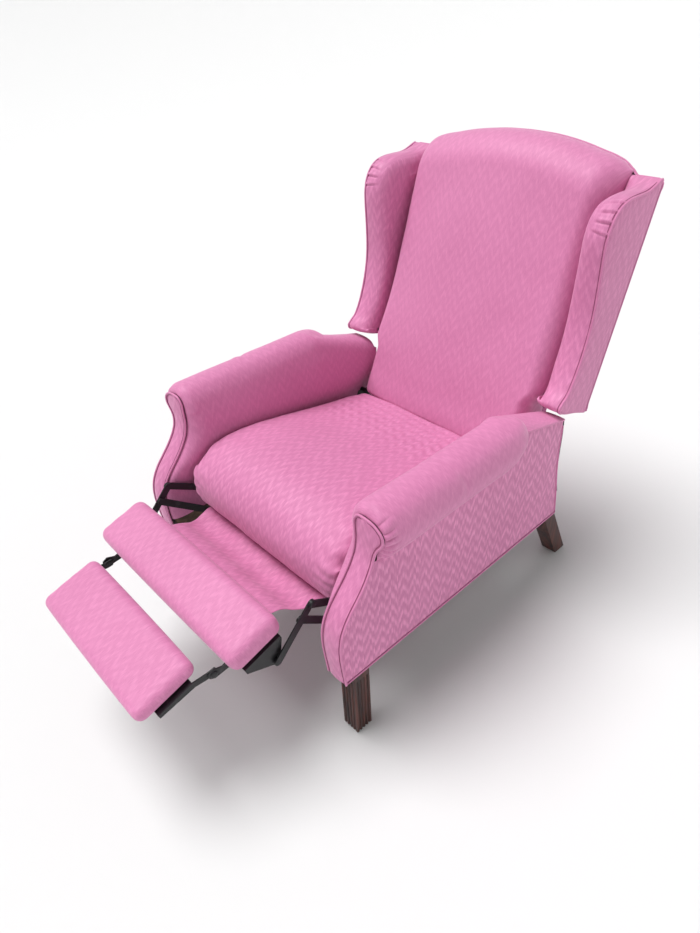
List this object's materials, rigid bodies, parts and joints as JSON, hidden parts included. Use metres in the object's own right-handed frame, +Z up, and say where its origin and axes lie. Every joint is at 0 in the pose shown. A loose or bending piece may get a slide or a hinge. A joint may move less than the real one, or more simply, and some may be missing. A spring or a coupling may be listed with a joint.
{
  "type": "wingback recliner",
  "caption": "Upholstered wing chair on wooden legs with scroll arms, a reclining back, a gliding seat and a fold-out footrest with a flip-out front panel.",
  "frame": {"origin": "on the floor at the centre of the chair's outline, footrest open", "axes": "+X to the sitter's left, -Y to the front, +Z up"},
  "size_m": [0.7858, 1.4021, 1.0847],
  "materials": {
    "woven_cloth": "satin weave",
    "dark_wood": "semi-gloss",
    "frame_wood": "matte",
    "dust_cloth": "matte",
    "webbing": "matte",
    "plastic": "matte",
    "black_steel": "semi-gloss",
    "bright_steel": "satin"
  },
  "bodies": {
    "base": {"arm_frame_left": "frame_wood", "arm_frame_right": "frame_wood", "arm_inner_pad_left": "woven_cloth", "arm_inner_pad_right": "woven_cloth", "arm_side_panel_left": "woven_cloth", "arm_side_panel_right": "woven_cloth", "arm_front_border_left": "woven_cloth", "arm_front_border_right": "woven_cloth", "arm_roll_left": "woven_cloth", "arm_roll_right": "woven_cloth", "front_leg_left": "dark_wood", "front_leg_right": "dark_wood", "rear_leg_left": "dark_wood", "rear_leg_right": "dark_wood", "leg_glides": "plastic", "base_front_rail": "frame_wood", "base_rear_rail": "frame_wood", "rear_cloth": "dust_cloth", "glide_rails": "black_steel", "back_pivot_bracket_left": "black_steel", "back_pivot_bracket_right": "black_steel"},
    "back": {"back_posts": "frame_wood", "back_top_rail": "frame_wood", "back_bottom_rail": "frame_wood", "back_webbing": "webbing", "back_cushion": "woven_cloth", "outside_back": "woven_cloth", "wing_frames": "frame_wood", "wing_pad_left": "woven_cloth", "wing_pad_right": "woven_cloth", "back_bracket_left": "black_steel", "back_bracket_right": "black_steel"},
    "seat": {"seat_cushion": "woven_cloth", "seat_front_rail": "frame_wood", "seat_rear_rail": "frame_wood", "seat_side_rails": "frame_wood", "seat_springs": "bright_steel", "seat_rail_left": "black_steel", "seat_rail_right": "black_steel", "glide_rollers": "plastic", "front_flap": "woven_cloth"},
    "upper_links": {"upper_link_left": "black_steel", "upper_link_right": "black_steel", "link_rivets": "bright_steel", "knee_rivets": "bright_steel"},
    "ottoman_links": {"ottoman_link_left": "black_steel", "ottoman_link_right": "black_steel", "bracket_rivets": "bright_steel"},
    "lower_links": {"lower_link_left": "black_steel", "lower_link_right": "black_steel", "lower_link_pins": "bright_steel"},
    "footrest": {"footrest_board": "frame_wood", "footrest_pad": "woven_cloth", "footrest_bracket_left": "black_steel", "footrest_bracket_right": "black_steel", "flip_pins": "bright_steel"},
    "flip_out": {"flip_board": "frame_wood", "flip_pad": "woven_cloth", "flip_bracket_left": "black_steel", "flip_bracket_right": "black_steel"}
  },
  "joints": [
    {"name": "back_recline", "type": "hinge", "parent": "base", "child": "back", "pos_m": [0, 0.3561, 0.372], "axis": [-1, 0, 0], "range_deg": [-11, 22]},
    {"name": "seat_glide", "type": "slide", "parent": "base", "child": "seat", "axis": [0, -0.9945, 0.1045], "range_m": [-0.0135, 0.0265]},
    {"name": "footrest_fold", "type": "hinge", "parent": "seat", "child": "upper_links", "pos_m": [0, -0.1569, 0.2854], "axis": [1, 0, 0], "range_deg": [0, 72.42], "deforming": ["front_flap"]},
    {"name": "ottoman_link_turn", "type": "hinge", "parent": "upper_links", "child": "ottoman_links", "pos_m": [0, -0.3259, 0.388], "axis": [1, 0, 0], "range_deg": [-0.5, 105.25]},
    {"name": "footrest_turn", "type": "hinge", "parent": "ottoman_links", "child": "footrest", "pos_m": [0, -0.4219, 0.292], "axis": [1, 0, 0], "range_deg": [-103.68, 0.5]},
    {"name": "flip_out_turn", "type": "hinge", "parent": "footrest", "child": "flip_out", "pos_m": [0, -0.53655, 0.31298], "axis": [1, 0, 0], "range_deg": [-0.5, 180.5]},
    {"name": "lower_link_turn", "type": "hinge", "parent": "ottoman_links", "child": "lower_links", "pos_m": [0, -0.3547, 0.3592], "axis": [1, 0, 0], "range_deg": [-83.9, 0.5]}
  ],
  "couplings": [
    {"joint": "seat_glide", "follows": "back_recline", "m_per_rad": 0.067713},
    {"joint": "ottoman_link_turn", "follows": "footrest_fold", "ratio": 1.4465},
    {"joint": "footrest_turn", "follows": "footrest_fold", "ratio": -1.4247},
    {"joint": "flip_out_turn", "follows": "footrest_fold", "ratio": 2.4855},
    {"joint": "lower_link_turn", "follows": "footrest_fold", "ratio": -1.1516}
  ]
}
